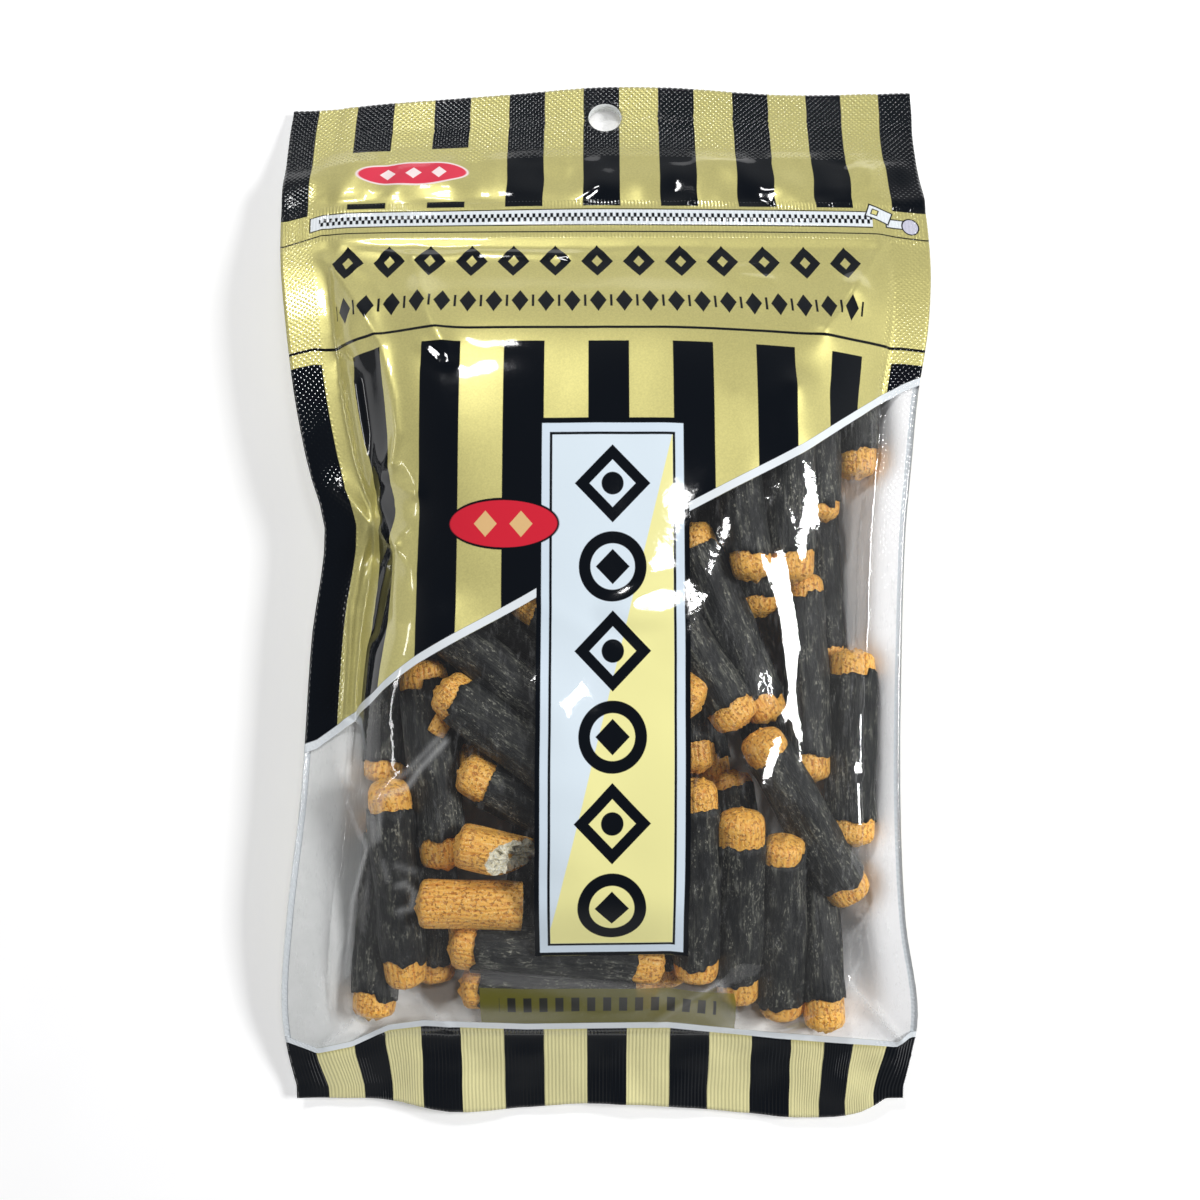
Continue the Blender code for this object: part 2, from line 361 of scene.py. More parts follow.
def lay(shape, start, end, roll, tag):
    """Moves a rod modelled along X to its place, after noting its own coordinates for the material."""
    own_place = shape.verts.layers.float_vector.new("own_place")
    for vert in shape.verts:
        vert[own_place] = (vert.co.x + 83.0 * tag, vert.co.y, vert.co.z)
    middle = Vector((start + end) / 2.0)
    along = Vector(end - start).normalized()
    across = Vector((0.0, 0.0, 1.0)).cross(along).normalized()
    turn = Matrix((along, across, along.cross(across))).transposed()
    bmesh.ops.rotate(shape, verts=shape.verts, matrix=Matrix.Rotation(roll, 3, "X"))
    bmesh.ops.rotate(shape, verts=shape.verts, matrix=turn)
    bmesh.ops.translate(shape, verts=shape.verts, vec=middle)
    bmesh.ops.scale(shape, verts=shape.verts, vec=(MM, MM, MM))


def add_to(whole, piece):
    """Joins one bmesh into another and frees it."""
    mesh = bpy.data.meshes.new("part")
    piece.to_mesh(mesh)
    piece.free()
    whole.from_mesh(mesh)
    bpy.data.meshes.remove(mesh)


def rod_radius(place, angle, length, tag):
    """The radius of a stick, uneven as puffed dough is, with ribs along it and blunt rounded ends."""
    end = min(1.0, abs(place) / (0.5 * length))
    ends = (1.0 - end**34) ** 0.5
    lumps = turbulence.noise((0.09 * place + 9.0 * tag, 0.8 * math.cos(angle), 0.8 * math.sin(angle)))
    ribs = turbulence.noise((0.05 * place + 5.0 * tag, 3.4 * math.cos(angle), 3.4 * math.sin(angle)))
    squash = 0.05 * math.cos(2.0 * angle + tag)
    return STICK_RADIUS * ends * (1.0 + 0.11 * lumps + 0.05 * ribs + squash)


def rod(length, tag, around=44, steps=22):
    """A ribbed rod along X in millimetres: a closed cylinder whose rings are drawn together at its ends."""
    shape = bmesh.new()
    bmesh.ops.create_cone(
        shape, cap_ends=True, cap_tris=True, segments=around, radius1=1.0, radius2=1.0, depth=2.0
    )
    bmesh.ops.rotate(shape, verts=shape.verts, matrix=Matrix.Rotation(math.pi / 2, 3, "Y"))
    sides = [edge for edge in shape.edges if abs(edge.verts[0].co.x - edge.verts[1].co.x) > 1.0]
    bmesh.ops.subdivide_edges(shape, edges=sides, cuts=steps, use_grid_fill=False)
    spokes = [edge for edge in shape.edges if min(v.co.yz.length for v in edge.verts) < 0.01]
    bmesh.ops.subdivide_edges(shape, edges=spokes, cuts=2, use_grid_fill=False)
    for vert in shape.verts:
        angle = math.atan2(vert.co.z, vert.co.y)
        rim = min(1.0, vert.co.yz.length)
        share = math.sin(0.5 * math.pi * vert.co.x)
        place = 0.495 * length * (0.2 * vert.co.x + 0.8 * share)
        radius = rod_radius(place, angle, length, tag)
        if abs(vert.co.x) > 0.999:
            pits = turbulence.noise((3.0 * tag + vert.co.x, 2.2 * rim * math.cos(angle), 2.2 * rim * math.sin(angle)))
            radius *= rim
            place += math.copysign(0.35 * (1.0 - rim**3) + 0.9 * pits * (1.0 - rim**6), place)
        vert.co = (place, radius * math.cos(angle), radius * math.sin(angle))
    return shape


def snap(shape, place, slant, roughness):
    """Breaks a rod's far end off at a slanting plane and leaves a pale crumbly face."""
    crumb = shape.verts.layers.float.new("crumb")
    across = Vector((math.cos(slant), 0.0, math.sin(slant)))
    everything = shape.verts[:] + shape.edges[:] + shape.faces[:]
    bmesh.ops.bisect_plane(shape, geom=everything, plane_co=(place, 0.0, 0.0), plane_no=across, clear_outer=True)
    rims = [edge for edge in shape.edges if edge.is_boundary]
    face = bmesh.ops.holes_fill(shape, edges=rims)["faces"]
    pieces = bmesh.ops.poke(shape, faces=face)["faces"]
    spokes = list({edge for piece in pieces for edge in piece.edges} - set(rims))
    cut = bmesh.ops.subdivide_edges(shape, edges=spokes, cuts=5, use_grid_fill=False)["geom_inner"]
    for vert in [item for item in cut if isinstance(item, bmesh.types.BMVert)]:
        vert[crumb] = 1.0
        vert.co += across * roughness * (turbulence.noise(vert.co * 0.9) + 0.5 * turbulence.noise(vert.co * 2.5))


paint = Paint("rice_stick")
own = paint.node("Attribute", {"attribute_name": "own_place"}, None, 1)
parts = paint.node("SeparateXYZ", None, {"Vector": own}).socket.node.outputs
along_stick, own_y, own_z = (Wire(paint, socket) for socket in parts)
wander = paint.noise(paint.stretched(own, 0.12, 0.35, 0.35), 1.0, 2.0)
girth = (own_y * own_y + own_z * own_z).math("SQRT")
ribs = ((own_z.math("ARCTAN2", own_y) * 24.0 + wander * 15.0).math("SINE") * 0.5 + 0.5).math("POWER", 0.7)
ribs = ribs * girth.rising(3.0, 3.9) + girth.falling(3.0, 3.9) * 0.75
streaks = paint.noise(paint.stretched(own, 0.35, 1.4, 1.4), 1.0, 4.0, 0.65)
specks = paint.noise(own, 2.6, 3.0, 0.6)
pores = paint.noise(own, 1.5, 2.0, 0.5).falling(0.36, 0.46)
# The colour is darker in the ribs' grooves: a painted shade.
tone = paint.mix((ribs * 0.18 + streaks * 0.82).rising(0.28, 0.60), colour(224, 144, 46), colour(255, 194, 88))
# The pale flecks are painted glints on the glaze.
tone = paint.mix(specks.rising(0.52, 0.70) * 0.75, tone, colour(255, 224, 152))
# The pores are painted darker brown: painted shade in the pits.
tone = paint.mix(pores * 0.6, tone, colour(168, 92, 26))
crumb = Wire(paint, paint.node("Attribute", {"attribute_name": "crumb"}).socket.node.outputs[2])
pith = paint.mix(specks.rising(0.35, 0.65), colour(246, 236, 198), colour(255, 254, 238))
tone = paint.mix(crumb.rising(0.3, 0.7), tone, pith)
relief = ribs * 0.20 + streaks * 0.6 + specks * 0.55 - pores * 0.5
crust = paint.node(
    "BsdfPrincipled",
    None,
    {
        "Base Color": tone,
        "Roughness": 0.36,
        "Specular IOR Level": 0.5,
        "Normal": paint.bump(relief, 0.35 * MM, 0.9),
    },
)
stick_material = paint.finish(crust)

whole = bmesh.new()
for tag, (start, end) in enumerate(list(shown.values()) + hidden):
    stick = rod(STICK_LENGTH - 1.0 + 1.6 * math.sin(tag * 2.3), tag)
    lay(stick, start, end, tag * 1.3, tag)
    add_to(whole, stick)
for tag, ((start, end), row) in enumerate(zip(broken, BROKEN_STICKS.values()), 80):
    _, _, place, slant, roughness, roll = row
    stick = rod(BROKEN_LENGTH, tag, 56, 30)
    snap(stick, place, slant, roughness)
    lay(stick, start, end, roll, tag)
    add_to(whole, stick)
for tag, (middle, degrees, length, half_width) in enumerate(CHIPS, 90):
    way = np.array((math.cos(math.radians(degrees)), math.sin(math.radians(degrees)), 0.0))
    chip = rod(length, tag, 24, 8)
    thin = half_width / STICK_RADIUS
    bmesh.ops.scale(chip, verts=chip.verts, vec=(1.0, thin, thin))
    lay(chip, np.array(middle) - way, np.array(middle) + way, 0.0, tag)
    add_to(whole, chip)
rice_sticks = object_of("rice_sticks", whole, [stick_material])
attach(rice_sticks, "root")
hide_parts("pouch")

# ---------------------------------------------------------------------------------------------
# Seaweed wraps: a strip of dried seaweed rolled once round each unbroken stick, short of its ends.
# It is paper-thin, dark green to black, lightly wrinkled along the stick, with ragged ends.


def wrap(length, tag, around=52, steps=24):
    """A sleeve along X in millimetres, a little wider than the stick, torn at both ends and tucked in."""
    shape = bmesh.new()
    bmesh.ops.create_cone(
        shape, cap_ends=True, cap_tris=True, segments=around, radius1=1.0, radius2=1.0, depth=2.0
    )
    bmesh.ops.rotate(shape, verts=shape.verts, matrix=Matrix.Rotation(math.pi / 2, 3, "Y"))
    sides = [edge for edge in shape.edges if abs(edge.verts[0].co.x - edge.verts[1].co.x) > 1.0]
    bmesh.ops.subdivide_edges(shape, edges=sides, cuts=steps + 1, use_grid_fill=False)
    gap = 2.0 / (steps + 2)
    for vert in shape.verts:
        angle = math.atan2(vert.co.z, vert.co.y)
        ring = round((vert.co.x + 1.0) / gap)
        share = (min(steps + 1, max(1, ring)) - 1) / steps * 2.0 - 1.0
        side = math.copysign(1.0, share)
        around_it = (1.6 * math.cos(angle), 1.6 * math.sin(angle))
        tear = 1.0 * turbulence.noise((*around_it, 7.0 * tag + side))
        tear += 0.45 * turbulence.noise((4.0 * around_it[0], 4.0 * around_it[1], 3.0 * tag + side))
        tear += 0.8 if math.cos(angle + tag * 1.9 + side) > 0.3 else -0.3
        place = 0.5 * length * share + tear * abs(share) ** 8 * side
        radius = rod_radius(place, angle, STICK_LENGTH, tag) + 0.40
        radius += 0.4 * turbulence.noise((0.08 * place + tag, *around_it)) * (1.0 - 0.5 * share**8)
        radius += 0.22 * turbulence.noise((0.22 * place, 3.0 * around_it[0], 3.0 * around_it[1] + tag))
        if ring in (0, steps + 2):
            radius = (radius - 1.0) if vert.co.yz.length > 0.5 else 0.0
        vert.co = (place, radius * math.cos(angle), radius * math.sin(angle))
    return shape


paint = Paint("seaweed")
own = paint.node("Attribute", {"attribute_name": "own_place"}, None, 1)
fibres = paint.noise(paint.stretched(own, 0.18, 1.5, 1.5), 1.0, 5.0, 0.65)
patches = paint.noise(paint.stretched(own, 0.20, 0.5, 0.5), 0.8, 3.0, 0.6)
specks = paint.noise(paint.stretched(own, 0.9, 2.0, 2.0), 1.3, 3.0, 0.7)
tone = paint.mix(patches.rising(0.35, 0.65), colour(17, 20, 22), colour(40, 42, 41))
# Pale grey patches: the leaf's own pale fibres and scuffs, with a painted sheen over them.
scuff_and_sheen = patches.rising(0.46, 0.60)
tone = paint.mix(fibres.rising(0.48, 0.66) * (scuff_and_sheen * 0.6 + 0.15), tone, colour(106, 107, 98))
tone = paint.mix(specks.rising(0.54, 0.66) * scuff_and_sheen * 0.8, tone, colour(156, 155, 142))
relief = fibres * 0.7 + specks * 0.3
leaf = paint.node(
    "BsdfPrincipled",
    None,
    {
        "Base Color": tone,
        "Roughness": 0.5,
        "Specular IOR Level": 0.3,
        "Normal": paint.bump(relief, 0.5 * MM, 0.9),
    },
)
seaweed_material = paint.finish(leaf)

whole = bmesh.new()
for tag, (start, end) in enumerate(list(shown.values()) + hidden):
    sleeve = wrap(30.3 + 1.5 * math.sin(tag * 3.1), tag)
    lay(sleeve, start, end, tag * 1.3, tag)
    add_to(whole, sleeve)
wraps = object_of("seaweed_wraps", whole, [seaweed_material])
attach(wraps, "root")
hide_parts("pouch")

# ---------------------------------------------------------------------------------------------
# Film: two sheets of thin laminate sealed all round. The front is printed with stripes, bands and a
# label, and has a clear window. It is drawn over the sticks and creased where it is slack.

FILM_WIDTH = 136.6
FILM_LENGTH = 219.0
COLUMNS = 220
ROWS = 352
STEP = 0.5
LEFT_END = -70.0
FOOT_END = -111.0
PLAN_COLUMNS = 281
PLAN_ROWS = 445

front = np.full((PLAN_ROWS, PLAN_COLUMNS), np.nan)
back = np.full((PLAN_ROWS, PLAN_COLUMNS), np.nan)
for row in range(PLAN_ROWS):
    for column in range(PLAN_COLUMNS):
        x = LEFT_END + STEP * column
        y = FOOT_END + STEP * row
        top = film_height(x, y, True)
        if top is not None:
            front[row, column] = top
            back[row, column] = film_height(x, y, False)


def filled(field):
    """The field with the empty places outside the pouch taken from the nearest place inside it."""
    known = ~np.isnan(field)
    field = np.where(known, field, 0.0)
    for _ in range(60):
        total = np.zeros_like(field)
        count = np.zeros_like(field)
        for axis in (0, 1):
            for way in (-1, 1):
                total += np.roll(field * known, way, axis)
                count += np.roll(known, way, axis)
        grows = ~known & (count > 0)
        field = np.where(grows, total / np.maximum(count, 1), field)
        known = known | grows
    return field


inside = ~np.isnan(front)
front = filled(front)
back = filled(back)
plan_x = LEFT_END + STEP * np.arange(PLAN_COLUMNS)[None, :] + np.zeros((PLAN_ROWS, 1))
plan_y = FOOT_END + STEP * np.arange(PLAN_ROWS)[:, None] + np.zeros((1, PLAN_COLUMNS))


def stick_tops(ends_list, radius):
    """The height of the sticks' upper side over the plan, and far below where there is none."""
    highest = np.full(plan_x.shape, -50.0)
    for start, end in ends_list:
        run = end - start
        length = float(np.hypot(run[0], run[1]))
        along = ((plan_x - start[0]) * run[0] + (plan_y - start[1]) * run[1]) / length
        across = ((plan_x - start[0]) * run[1] - (plan_y - start[1]) * run[0]) / length
        over_end = np.maximum(0.0, np.abs(along - 0.5 * length) - 0.5 * length)
        reach = np.hypot(across, over_end)
        level = start[2] + run[2] * np.clip(along / length, 0.0, 1.0)
        top = level + np.sqrt(np.maximum(0.0, radius**2 - reach**2))
        highest = np.where(reach < radius, np.maximum(highest, top), highest)
    return highest


# Broken sticks end where they are snapped off.
solid_ends = list(shown.values()) + hidden
for (start, end), (_, _, place, _, _, _) in zip(broken, BROKEN_STICKS.values()):
    solid_ends.append([start, start + (end - start) * (0.5 * BROKEN_LENGTH + place - STICK_RADIUS) / (BROKEN_LENGTH - 2.0 * STICK_RADIUS)])
tops = stick_tops(solid_ends, STICK_RADIUS + 1.1)


def beside(field):
    """The mean of every place's four neighbours."""
    return (np.roll(field, 1, 0) + np.roll(field, -1, 0) + np.roll(field, 1, 1) + np.roll(field, -1, 1)) / 4.0


body = np.clip((front - back - 3.0) / 6.0, 0.0, 1.0)
target = front - 0.9 * body
tops = np.where(body > 0.0, tops, -50.0)
film = np.maximum(target, tops)
for _ in range(90):
    eased = film + body * (0.9 * (beside(film) - film) + 0.02 * (target - film))
    film = np.maximum(eased, tops)
for _ in range(10):
    film = film + body * 0.9 * (beside(film) - film)
tops = tops - 0.25

# The back film is drawn round the sticks' lower sides in the same way, and lies on the table.
turned = [[end * np.array((1.0, 1.0, -1.0)) for end in ends] for ends in solid_ends]
loose = front - back > 0.5
bottoms = np.where(loose, -stick_tops(turned, STICK_RADIUS + 1.4), 50.0)
back = np.minimum(back, bottoms)
for _ in range(24):
    back = np.minimum(back + loose * 0.9 * (beside(back) - back), bottoms)
back = np.maximum(back, 0.1)

# Creases of the slack film: route in plan, half width, height of the fold's edge, below 0 for a valley.
CREASES = (
    # The long crest down the left shoulder, its twin, and the trough outside it.
    (((-57.5, 64.0), (-52.3, 57.1), (-47.2, 48.2), (-43.9, 42.2), (-41.0, 30.7), (-40.2, 23.9), (-41.3, 18.0)), 1.3, 1.5),
    (((-51.4, 62.2), (-47.1, 58.3), (-43.6, 52.6)), 1.0, 0.7),
    (((-51.8, 42.4), (-48.0, 36.8), (-46.2, 25.3), (-46.3, 14.0), (-46.0, 2.0)), 2.2, -1.8),
    # The kink at the crest's foot, and the star where the slack gathers.
    (((-44.1, 16.1), (-40.5, 14.1), (-35.7, 11.6)), 1.0, 0.9),
    (((-41.3, 18.0), (-38.6, 18.1), (-36.2, 14.4), (-35.7, 12.2)), 0.8, 0.6),
    (((-40.1, 2.0), (-46.5, 8.2), (-52.9, 15.2)), 1.6, 1.6),
    (((-40.1, 2.0), (-41.9, 6.5), (-44.7, 11.8)), 1.0, 0.9),
    (((-40.1, 2.0), (-39.3, 4.1), (-37.1, 5.6)), 0.8, 0.5),
    (((-40.1, 2.0), (-40.2, -8.5), (-39.5, -13.3)), 0.9, 0.8),
    (((-40.1, 2.0), (-36.4, -3.6)), 0.9, 0.5),
    (((-40.1, 2.0), (-42.5, -0.7), (-43.8, -5.8), (-45.0, -14.0)), 1.3, -1.3),
    (((-46.5, 8.2), (-48.5, 0.9), (-50.5, -8.0), (-50.7, -17.2), (-51.2, -31.0)), 1.1, 1.3),
    # Pleats below the press-to-close strip.
    (((-54.5, 67.0), (-46.2, 65.4), (-38.8, 64.0), (-31.4, 64.3), (-25.7, 65.2), (-17.1, 64.9), (-6.6, 64.4)), 1.1, 0.9),
    (((-6.6, 64.4), (5.0, 66.0), (20.0, 65.5), (28.0, 61.0), (34.0, 62.0)), 1.2, 0.5),
    (((-38.8, 64.0), (-36.3, 54.3), (-33.8, 46.9), (-30.8, 41.4), (-29.9, 37.6)), 1.8, 1.1),
    (((28.2, 58.8), (34.2, 58.0)), 1.0, 0.7),
    (((30.7, 49.4), (29.2, 55.0)), 1.2, -0.6),
    (((57.9, 67.1), (53.0, 59.3), (48.6, 51.6), (44.3, 46.1)), 1.3, 1.1),
    (((-35.6, 41.3), (-31.6, 37.6)), 0.6, 0.5),
    # The window's creases: round the left sticks, and into the two lower corners.
    (((-29.1, -35.7), (-34.0, -40.9), (-36.3, -44.2), (-41.6, -45.9), (-42.0, -53.8)), 0.8, 0.8),
    (((-30.0, -34.6), (-36.5, -41.5), (-40.5, -43.5), (-43.2, -48.0), (-42.8, -54.0)), 0.6, 0.5),
    (((-41.1, -58.0), (-40.2, -61.3)), 0.6, 0.4),
    (((-38.6, -58.6), (-35.0, -59.6)), 0.6, 0.4),
    (((-38.4, -62.4), (-36.9, -62.0), (-35.2, -63.7), (-35.8, -66.7), (-38.1, -67.1)), 0.6, 0.5),
    (((-52.5, -40.0), (-50.0, -48.0), (-44.5, -55.5), (-48.0, -66.0), (-49.5, -80.0)), 1.0, 0.8),
    (((-47.4, -88.2), (-55.1, -94.9)), 0.9, 0.9),
    (((-35.9, -83.9), (-30.1, -91.6)), 0.9, 0.8),
    (((22.0, -81.2), (25.9, -88.3)), 0.9, 0.8),
    (((22.0, -81.2), (11.1, -89.4)), 1.0, 0.9),
    (((47.9, -81.9), (59.1, -94.1)), 0.9, 1.1),
    (((53.6, -86.2), (59.2, -93.7)), 0.7, 0.7),
    (((49.9, -78.3), (47.7, -82.5)), 0.8, 0.6),
)


def reach_to(route):
    """The distance of every place in plan from a route of straight pieces."""
    nearest = np.full(plan_x.shape, 1e9)
    for (x0, y0), (x1, y1) in zip(route, route[1:]):
        length = (x1 - x0) ** 2 + (y1 - y0) ** 2
        share = np.clip(((plan_x - x0) * (x1 - x0) + (plan_y - y0) * (y1 - y0)) / length, 0.0, 1.0)
        away = np.hypot(plan_x - x0 - share * (x1 - x0), plan_y - y0 - share * (y1 - y0))
        nearest = np.minimum(nearest, away)
    return nearest


# folds marks the creases; the clear film's haze is painted whiter along them, partly stress whitening and partly a
# painted highlight.
folds = np.zeros(plan_x.shape)
for route, half_width, height in CREASES:
    away = reach_to(route)
    film = film + height * np.exp(-np.sqrt(away**2 + 0.06) / half_width)
    folds = np.maximum(folds, min(1.0, abs(height)) * np.exp(-((away / 0.5) ** 2)))

# Soft swellings: middle in plan, half widths across and along, height.
SWELLINGS = (
    (-30.0, 38.5, 3.5, 3.5, -0.55),
)
for x, y, half_width, half_length, height in SWELLINGS:
    film = film + height * np.exp(-(((plan_x - x) / half_width) ** 2) - ((plan_y - y) / half_length) ** 2)

# Tight flat places, where the film stands off the sticks: middle in plan, half widths across and along,
# the turn of the length in degrees, and the film's slopes to the right and to the head.
PLATES = (
    (10.2, -9.6, 9.5, 4.4, 12.0, -0.061, -0.033),
    (35.4, -14.5, 2.6, 20.0, 3.0, -0.322, 0.045),
)
for x, y, half_width, half_length, degrees, rightward, headward in PLATES:
    turn = math.radians(degrees)
    across = (plan_x - x) * math.cos(turn) + (plan_y - y) * math.sin(turn)
    along = (plan_y - y) * math.cos(turn) - (plan_x - x) * math.sin(turn)
    away = np.sqrt((across / half_width) ** 2 + (along / half_length) ** 2)
    share = np.clip((1.4 - away) / 0.9, 0.0, 1.0)
    share = share * share * (3.0 - 2.0 * share)
    plate = rightward * (plan_x - x) + headward * (plan_y - y)
    plate = plate + float(np.percentile((film - plate)[away < 1.0], 90.0))
    film = film + share * (plate - film)

# The puffed band under the header seal is full of soft dimples, the seal itself is wavy, and the rest
# of the film is faintly crinkled.
DIMPLE = 8.0
waves = np.array(
    [
        [
            (
                turbulence.noise((x / DIMPLE, y / DIMPLE, 0.3)),
                turbulence.noise((x / 21.0, y / 60.0, 4.1)),
                turbulence.noise((x / 10.0, y / 14.0, 8.2)),
                turbulence.noise((x / 7.0, y / 9.0, 2.6)),
            )
            for x in plan_x[0]
        ]
        for y in plan_y[:, 0]
    ]
)
puffed = np.clip((plan_y - 76.5) / 2.5, 0.0, 1.0) * np.clip((91.5 - plan_y) / 2.5, 0.0, 1.0)
wavy = np.clip((plan_y - 89.0) / 4.0, 0.0, 1.0)
puckered = np.clip((-94.0 - plan_y) / 3.0, 0.0, 1.0)
film = film + 1.5 * puffed * waves[:, :, 0] + 0.2 * body * waves[:, :, 2]
film = np.maximum(film, tops)
thin = np.clip(1.6 - 0.6 * (front - back), 0.0, 1.0)
film = film - 0.25 * thin
back = back + 0.25 * thin
pucker = 0.5 * wavy * waves[:, :, 1] + 1.1 * puckered * waves[:, :, 3]
film = np.maximum(film, back + 0.35) + pucker
back = back + pucker


def sample(field, x, y):
    """The field's value at places in plan, between its grid points."""
    across = np.clip((x - LEFT_END) / STEP, 0.0, PLAN_COLUMNS - 1.001)
    up = np.clip((y - FOOT_END) / STEP, 0.0, PLAN_ROWS - 1.001)
    column = across.astype(int)
    row = up.astype(int)
    across = across - column
    up = up - row
    low = field[row, column] * (1 - across) + field[row, column + 1] * across
    high = field[row + 1, column] * (1 - across) + field[row + 1, column + 1] * across
    return low * (1 - up) + high * up


def edge_line(along_y, first):
    """The pouch's outline read from the plan: one edge's place at each row, or at each column."""
    lines = []
    count = PLAN_ROWS if along_y else PLAN_COLUMNS
    for index in range(count):
        places = np.flatnonzero(inside[index, :] if along_y else inside[:, index])
        if not len(places):
            lines.append(np.nan)
            continue
        start = (LEFT_END if along_y else FOOT_END) + STEP * places[0 if first else -1]
        other = (FOOT_END if along_y else LEFT_END) + STEP * index
        low, high = start, start + (-STEP if first else STEP)
        for _ in range(7):
            middle = 0.5 * (low + high)
            spot = (middle, other) if along_y else (other, middle)
            low, high = (middle, high) if film_height(*spot, True) is not None else (low, middle)
        lines.append(low)
    lines = np.array(lines)
    known = np.flatnonzero(~np.isnan(lines))
    return np.interp(np.arange(count), known, lines[known])


left_edge = edge_line(True, True)
right_edge = edge_line(True, False)
foot_edge = edge_line(False, True)
head_edge = edge_line(False, False)
rows_y = FOOT_END + STEP * np.arange(PLAN_ROWS)
columns_x = LEFT_END + STEP * np.arange(PLAN_COLUMNS)

# Side edges near the corners come from the rows just inside them, so that the corners stay square.
LOWEST_SIDE = -103.5
HIGHEST_SIDE = 102.5
side_y = np.clip(rows_y, LOWEST_SIDE, HIGHEST_SIDE)
left_edge = np.interp(side_y, rows_y, left_edge)
right_edge = np.interp(side_y, rows_y, right_edge)
end_x = np.clip(columns_x, -57.0, 56.5)
foot_edge = np.interp(end_x, columns_x, foot_edge)
head_x = np.clip(columns_x, -66.0, 66.5)
head_edge = np.interp(head_x, columns_x, head_edge)


def lengths_along(points):
    """The running length of a row of points."""
    steps = np.linalg.norm(np.diff(points, axis=0), axis=1)
    return np.concatenate(([0.0], np.cumsum(steps)))


# Up its middle the film keeps its real spacing. Elsewhere the rows bend with it: the lower edge of the
# clear window and the press-to-close strip lie at these heights along the pouch.
WINDOW_FOOT = (
    (-62.6, -94.1), (-56.8, -96.5), (-49.7, -95.0), (-42.1, -91.3), (-35.0, -90.3), (-15.0, -91.1),
    (12.6, -90.7), (34.7, -93.2), (58.4, -95.1), (61.2, -93.0),
)
STRIP = ((-66.7, 66.9), (-58.9, 69.8), (0.0, 70.1), (57.8, 69.9), (67.5, 68.5))
LEFT_SEAL = 10.0
RIGHT_SEAL = 7.5
SHOULDER = 38.0
CROWN = ((-109.0, 0.8), (-20.0, 1.2), (50.0, 1.2), (80.0, 0.5))
middle_y = np.linspace(foot_edge[140], head_edge[140], 900)
middle_line = np.stack([0 * middle_y, middle_y, sample(film, 0 * middle_y, middle_y)], 1)
middle_length = lengths_along(middle_line)


def bent(x, y):
    """The height along the pouch, at places across it, of the film's points that lie at y in its middle."""
    foot = np.interp(x, columns_x, foot_edge)
    window_foot = np.interp(x, *zip(*WINDOW_FOOT))
    strip = np.interp(x, *zip(*STRIP))
    head = np.interp(x, columns_x, head_edge)
    if y < -91.0:
        return foot + (window_foot - foot) * (y - middle_y[0]) / (-91.0 - middle_y[0])
    if y < 70.0:
        return window_foot + (strip - window_foot) * (y + 91.0) / 161.0
    return strip + (head - strip) * (y - 70.0) / (middle_y[-1] - 70.0)


def sheet_points(field, columns, rows):
    """A film's points, one row after another up the pouch, spaced as they are on the flat film."""
    points = np.zeros((rows + 1, columns + 1, 3))
    shares = np.linspace(0.0, 1.0, 500)
    flat = np.linspace(-0.5 * FILM_WIDTH, 0.5 * FILM_WIDTH, columns + 1)
    heights = np.interp(np.linspace(0.0, middle_length[-1], rows + 1), middle_length, middle_y)
    for row, height in enumerate(heights):
        y = np.full(500, height)
        for _ in range(4):
            left = np.interp(y, rows_y, left_edge)
            right = np.interp(y, rows_y, right_edge)
            x = left + (right - left) * shares
            y = bent(x, height)
        line = np.stack([x, y, sample(field, x, y)], 1)
        length = lengths_along(line)
        length -= np.interp(np.interp(height, *zip(*CROWN)), x, length)
        ends = (length[0], length[0] + LEFT_SEAL, -SHOULDER, SHOULDER, length[-1] - RIGHT_SEAL, length[-1])
        half = 0.5 * FILM_WIDTH
        on_film = np.interp(length, ends, (-half, LEFT_SEAL - half, -SHOULDER, SHOULDER, half - RIGHT_SEAL, half))
        for axis in range(3):
            points[row, :, axis] = np.interp(flat, on_film, line[:, axis])
    return points


front_points = sheet_points(film, COLUMNS, ROWS)
back_points = sheet_points(back, COLUMNS // 2, ROWS // 2)
fold_shares = sample(folds, front_points[:, :, 0], front_points[:, :, 1])

HOLE_RADIUS = 3.65
HOLE_AT = Vector((0.6, 101.3))


def punch_hole(shape, radius):
    """Cuts the hang hole: drops the faces inside it and draws the edge that is left onto the circle."""
    away = {vert: (vert.co.xy / MM - HOLE_AT).length for vert in shape.verts}
    inner = [face for face in shape.faces if max(away[vert] for vert in face.verts) < radius + 0.35]
    bmesh.ops.delete(shape, geom=inner, context="FACES")
    for vert in shape.verts:
        if away[vert] < radius + 1.0 and any(edge.is_boundary for edge in vert.link_edges):
            vert.co.xy = (HOLE_AT + (vert.co.xy / MM - HOLE_AT).normalized() * radius) * MM

def sheet(points, is_front):
    """One film from a flat grid of its own columns and rows, with the flat place kept as its UV map."""
    rows, columns = points.shape[0] - 1, points.shape[1] - 1
    shape = bmesh.new()
    bmesh.ops.create_grid(shape, x_segments=columns, y_segments=rows, size=0.5)
    flat_map = shape.loops.layers.uv.new("OFBake")
    for face in shape.faces:
        face.material_index = 0 if is_front else 1
        for loop in face.loops:
            across = 0.5 * (loop.vert.co.x + 0.5)
            loop[flat_map].uv = (across if is_front else 1.0 - across, loop.vert.co.y + 0.5)
    fold = shape.verts.layers.float.new("fold")
    for vert in shape.verts:
        column = round((vert.co.x + 0.5) * columns)
        row = round((vert.co.y + 0.5) * rows)
        vert.co = Vector(points[row, column]) * MM
        vert[fold] = fold_shares[row, column] if is_front else 0.0
    punch_hole(shape, HOLE_RADIUS)
    return shape


